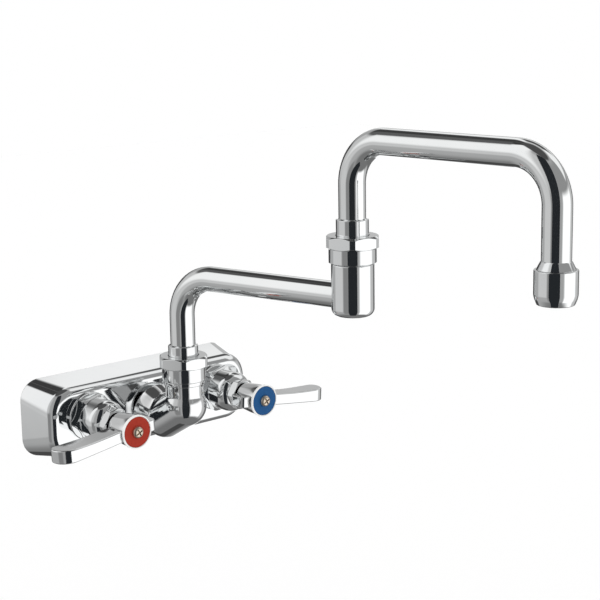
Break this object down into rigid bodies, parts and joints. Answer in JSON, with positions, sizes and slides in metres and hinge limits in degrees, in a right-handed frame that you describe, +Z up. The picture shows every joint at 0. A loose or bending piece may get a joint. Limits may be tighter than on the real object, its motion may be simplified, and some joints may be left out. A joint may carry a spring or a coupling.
{
  "type": "wall-mounted commercial faucet",
  "caption": "Wall-mounted commercial faucet with a tapered cover, lever valves and a double-jointed swing spout that folds in two.",
  "frame": {"origin": "on the wall plane, midway between the two inlets on their common centre line", "axes": "+X to the right seen from in front, +Y into the wall along the inlets, +Z up; the front is -Y"},
  "size_m": [0.2116, 0.3429, 0.2146],
  "materials": {
    "chrome_plate": "polished chrome plate on brass",
    "rough_brass": "cast and turned brass, unplated",
    "foam": "closed-cell foam strip",
    "seal_rubber": "moulded rubber, satin",
    "white_plastic": "white moulded plastic",
    "grey_plastic": "moulded acetal",
    "ceramic": "ground alumina",
    "red_index": "printed red face",
    "blue_index": "printed blue face",
    "steel_mesh": "stainless steel",
    "screw_steel": "nickel-plated steel"
  },
  "bodies": {
    "wall_body": {"wall_cover": "chrome_plate", "cover_gasket": "foam", "valve_casting": "rough_brass", "outlet_elbow": "chrome_plate", "lower_swivel_nut": "chrome_plate", "lower_glide_ring": "white_plastic", "hot_inlet_filter": "steel_mesh", "hot_seat_seal": "seal_rubber", "hot_fixed_disc": "ceramic", "hot_cartridge_body": "rough_brass", "hot_cartridge_ring": "seal_rubber", "hot_stem_packing": "white_plastic", "hot_bonnet_nut": "chrome_plate", "hot_packing_nut": "chrome_plate", "cold_inlet_filter": "steel_mesh", "cold_seat_seal": "seal_rubber", "cold_fixed_disc": "ceramic", "cold_cartridge_body": "rough_brass", "cold_cartridge_ring": "seal_rubber", "cold_stem_packing": "white_plastic", "cold_bonnet_nut": "chrome_plate", "cold_packing_nut": "chrome_plate"},
    "hot_handle": {"hot_moving_disc": "ceramic", "hot_stem": "rough_brass", "hot_stem_rings": "seal_rubber", "hot_lever": "chrome_plate", "hot_index_ring": "white_plastic", "hot_index_disc": "red_index", "hot_handle_screw": "screw_steel"},
    "cold_handle": {"cold_moving_disc": "ceramic", "cold_stem": "rough_brass", "cold_stem_rings": "seal_rubber", "cold_lever": "chrome_plate", "cold_index_ring": "white_plastic", "cold_index_disc": "blue_index", "cold_handle_screw": "screw_steel"},
    "lower_spout": {"lower_ferrule": "chrome_plate", "lower_seal_rings": "seal_rubber", "lower_tube": "chrome_plate", "knuckle": "chrome_plate", "upper_swivel_nut": "chrome_plate", "upper_glide_ring": "white_plastic"},
    "upper_spout": {"upper_ferrule": "chrome_plate", "upper_seal_rings": "seal_rubber", "upper_tube": "chrome_plate", "tip_adapter": "chrome_plate", "aerator_shell": "chrome_plate", "aerator_screen": "steel_mesh", "aerator_insert": "grey_plastic", "aerator_washer": "seal_rubber"}
  },
  "joints": [
    {"name": "hot_handle_turn", "type": "hinge", "parent": "wall_body", "child": "hot_handle", "pos_m": [-0.0508, -0.066, 0], "axis": [0, -1, 0], "range_deg": [0, 90]},
    {"name": "cold_handle_turn", "type": "hinge", "parent": "wall_body", "child": "cold_handle", "pos_m": [0.0508, -0.066, 0], "axis": [0, 1, 0], "range_deg": [0, 90]},
    {"name": "lower_spout_swing", "type": "hinge", "parent": "wall_body", "child": "lower_spout", "pos_m": [0, -0.0622, 0.0208], "axis": [0, 0, 1], "range_deg": [-102.4, 77.6]},
    {"name": "upper_spout_swing", "type": "hinge", "parent": "lower_spout", "child": "upper_spout", "pos_m": [0.02783, -0.18878, 0.1081], "axis": [0, 0, 1], "continuous": true}
  ]
}
